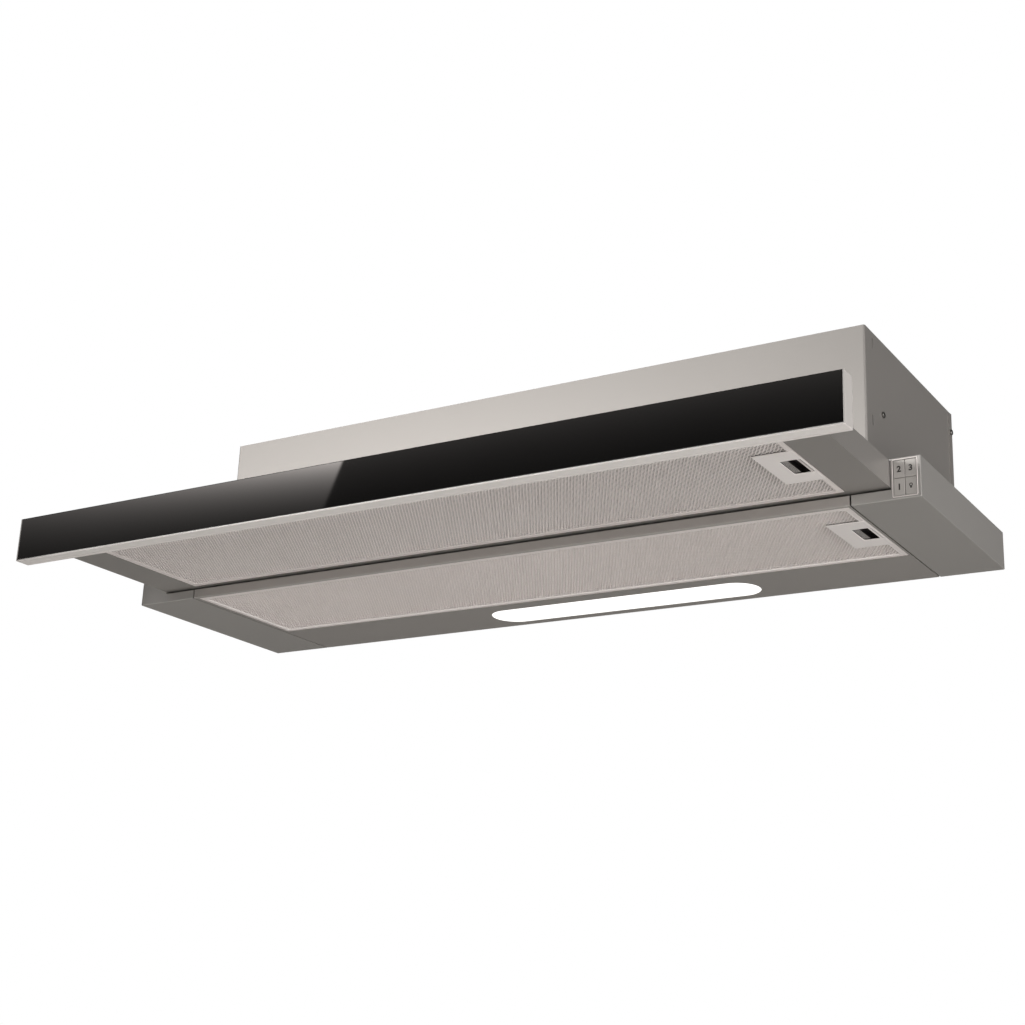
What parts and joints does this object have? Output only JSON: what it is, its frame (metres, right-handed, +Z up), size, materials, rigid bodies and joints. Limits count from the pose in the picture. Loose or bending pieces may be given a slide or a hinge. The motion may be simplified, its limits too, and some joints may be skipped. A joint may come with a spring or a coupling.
{
  "type": "telescopic under-cabinet range hood",
  "caption": "Slim telescopic range hood with a glass-fronted pull-out drawer, mesh grease filters, push buttons, a lamp strip and a round top outlet.",
  "frame": {"origin": "centre of the four cabinet screw holes, on the upper face of the top plate", "axes": "+X to the right as seen from the room, +Y towards the wall, +Z up"},
  "size_m": [0.9028, 0.426, 0.2023],
  "materials": {
    "painted_steel": "satin silver-grey lacquer on steel sheet",
    "inner_steel": "plain galvanised sheet",
    "cap_plastic": "silver-grey moulded plastic",
    "black_glass": "gloss black glass",
    "front_aluminium": "satin anodised aluminium",
    "filter_aluminium": "bright expanded aluminium mesh",
    "latch_metal": "satin silver-grey",
    "lens": "opal",
    "button_plastic": "silver-grey keys",
    "zinc_screw": "bright zinc",
    "circuit_board": "green board",
    "led": "yellow-white chip",
    "black_plastic": "black moulded plastic",
    "white_nylon": "natural nylon",
    "rubber": "black rubber",
    "blower_plastic": "dark grey moulded plastic",
    "motor_steel": "plain motor can",
    "shaft_steel": "ground steel"
  },
  "bodies": {
    "hood": {"canopy_shell": "painted_steel", "canopy_top": "inner_steel", "end_cap_left": "cap_plastic", "end_cap_right": "cap_plastic", "casing_wrap": "painted_steel", "casing_back": "painted_steel", "casing_top": "painted_steel", "cable_gland": "black_plastic", "outlet_collar": "black_plastic", "damper_pin": "shaft_steel", "lamp_diffuser": "lens", "lamp_housing": "inner_steel", "led_board": "circuit_board", "led_chips": "led", "button_guide": "black_plastic", "switch_board": "circuit_board", "slide_outer_left": "inner_steel", "slide_outer_right": "inner_steel", "scroll_lower": "blower_plastic", "scroll_upper": "blower_plastic", "motor": "motor_steel", "blower_hangers": "rubber", "control_box": "black_plastic", "control_board": "circuit_board", "capacitor": "white_nylon", "capacitor_clip": "inner_steel", "casing_screws": "zinc_screw", "cap_screws": "zinc_screw"},
    "blower_wheel": {"impeller": "blower_plastic", "motor_shaft": "shaft_steel"},
    "flap_front": {"flap_front": "black_plastic"},
    "flap_rear": {"flap_rear": "black_plastic"},
    "drawer": {"tray": "painted_steel", "front_frame": "front_aluminium", "front_glass": "black_glass", "slide_inner_left": "inner_steel", "slide_inner_right": "inner_steel", "slide_runner_left": "white_nylon", "slide_runner_right": "white_nylon", "buffers": "rubber", "front_screws": "zinc_screw"},
    "button_speed_1": {"button_speed_1": "button_plastic"},
    "button_speed_2": {"button_speed_2": "button_plastic"},
    "button_speed_3": {"button_speed_3": "button_plastic"},
    "button_lamp": {"button_lamp": "button_plastic"},
    "canopy_filter": {"canopy_filter_frame": "filter_aluminium", "canopy_filter_mesh": "filter_aluminium", "canopy_filter_core": "filter_aluminium", "canopy_filter_back": "filter_aluminium", "canopy_latch_housing": "latch_metal"},
    "canopy_latch": {"canopy_latch_slider": "latch_metal"},
    "drawer_filter": {"drawer_filter_frame": "filter_aluminium", "drawer_filter_mesh": "filter_aluminium", "drawer_filter_core": "filter_aluminium", "drawer_filter_back": "filter_aluminium", "drawer_latch_housing": "latch_metal"},
    "drawer_latch": {"drawer_latch_slider": "latch_metal"}
  },
  "joints": [
    {"name": "drawer_slide", "type": "slide", "parent": "hood", "child": "drawer", "axis": [0, -1, 0], "range_m": [-0.165, 0]},
    {"name": "drawer_filter_hinge", "type": "hinge", "parent": "drawer", "child": "drawer_filter", "pos_m": [-0.3677, -0.2025, -0.1574], "axis": [0, 1, 0], "range_deg": [0, 40]},
    {"name": "drawer_latch_slide", "type": "slide", "parent": "drawer_filter", "child": "drawer_latch", "axis": [-1, 0, 0], "range_m": [0, 0.0065], "stiffness_N_per_m": 300, "springref_m": -0.002},
    {"name": "canopy_filter_hinge", "type": "hinge", "parent": "hood", "child": "canopy_filter", "pos_m": [-0.3677, -0.038, -0.169], "axis": [0, 1, 0], "range_deg": [0, 40]},
    {"name": "canopy_latch_slide", "type": "slide", "parent": "canopy_filter", "child": "canopy_latch", "axis": [-1, 0, 0], "range_m": [0, 0.0065], "stiffness_N_per_m": 300, "springref_m": -0.002},
    {"name": "button_speed_1_press", "type": "slide", "parent": "hood", "child": "button_speed_1", "axis": [0, 1, 0], "range_m": [0, 0.0015], "stiffness_N_per_m": 500, "springref_m": -0.001},
    {"name": "button_speed_2_press", "type": "slide", "parent": "hood", "child": "button_speed_2", "axis": [0, 1, 0], "range_m": [0, 0.0015], "stiffness_N_per_m": 500, "springref_m": -0.001},
    {"name": "button_speed_3_press", "type": "slide", "parent": "hood", "child": "button_speed_3", "axis": [0, 1, 0], "range_m": [0, 0.0015], "stiffness_N_per_m": 500, "springref_m": -0.001},
    {"name": "button_lamp_press", "type": "slide", "parent": "hood", "child": "button_lamp", "axis": [0, 1, 0], "range_m": [0, 0.0015], "stiffness_N_per_m": 500, "springref_m": -0.001},
    {"name": "blower_spin", "type": "hinge", "parent": "hood", "child": "blower_wheel", "pos_m": [0.165, 0.005, -0.07], "axis": [0, 0, 1], "continuous": true},
    {"name": "flap_front_swing", "type": "hinge", "parent": "hood", "child": "flap_front", "pos_m": [0, 0.03, 0.02], "axis": [-1, 0, 0], "range_deg": [0, 80]},
    {"name": "flap_rear_swing", "type": "hinge", "parent": "hood", "child": "flap_rear", "pos_m": [0, 0.03, 0.02], "axis": [1, 0, 0], "range_deg": [0, 80]}
  ]
}
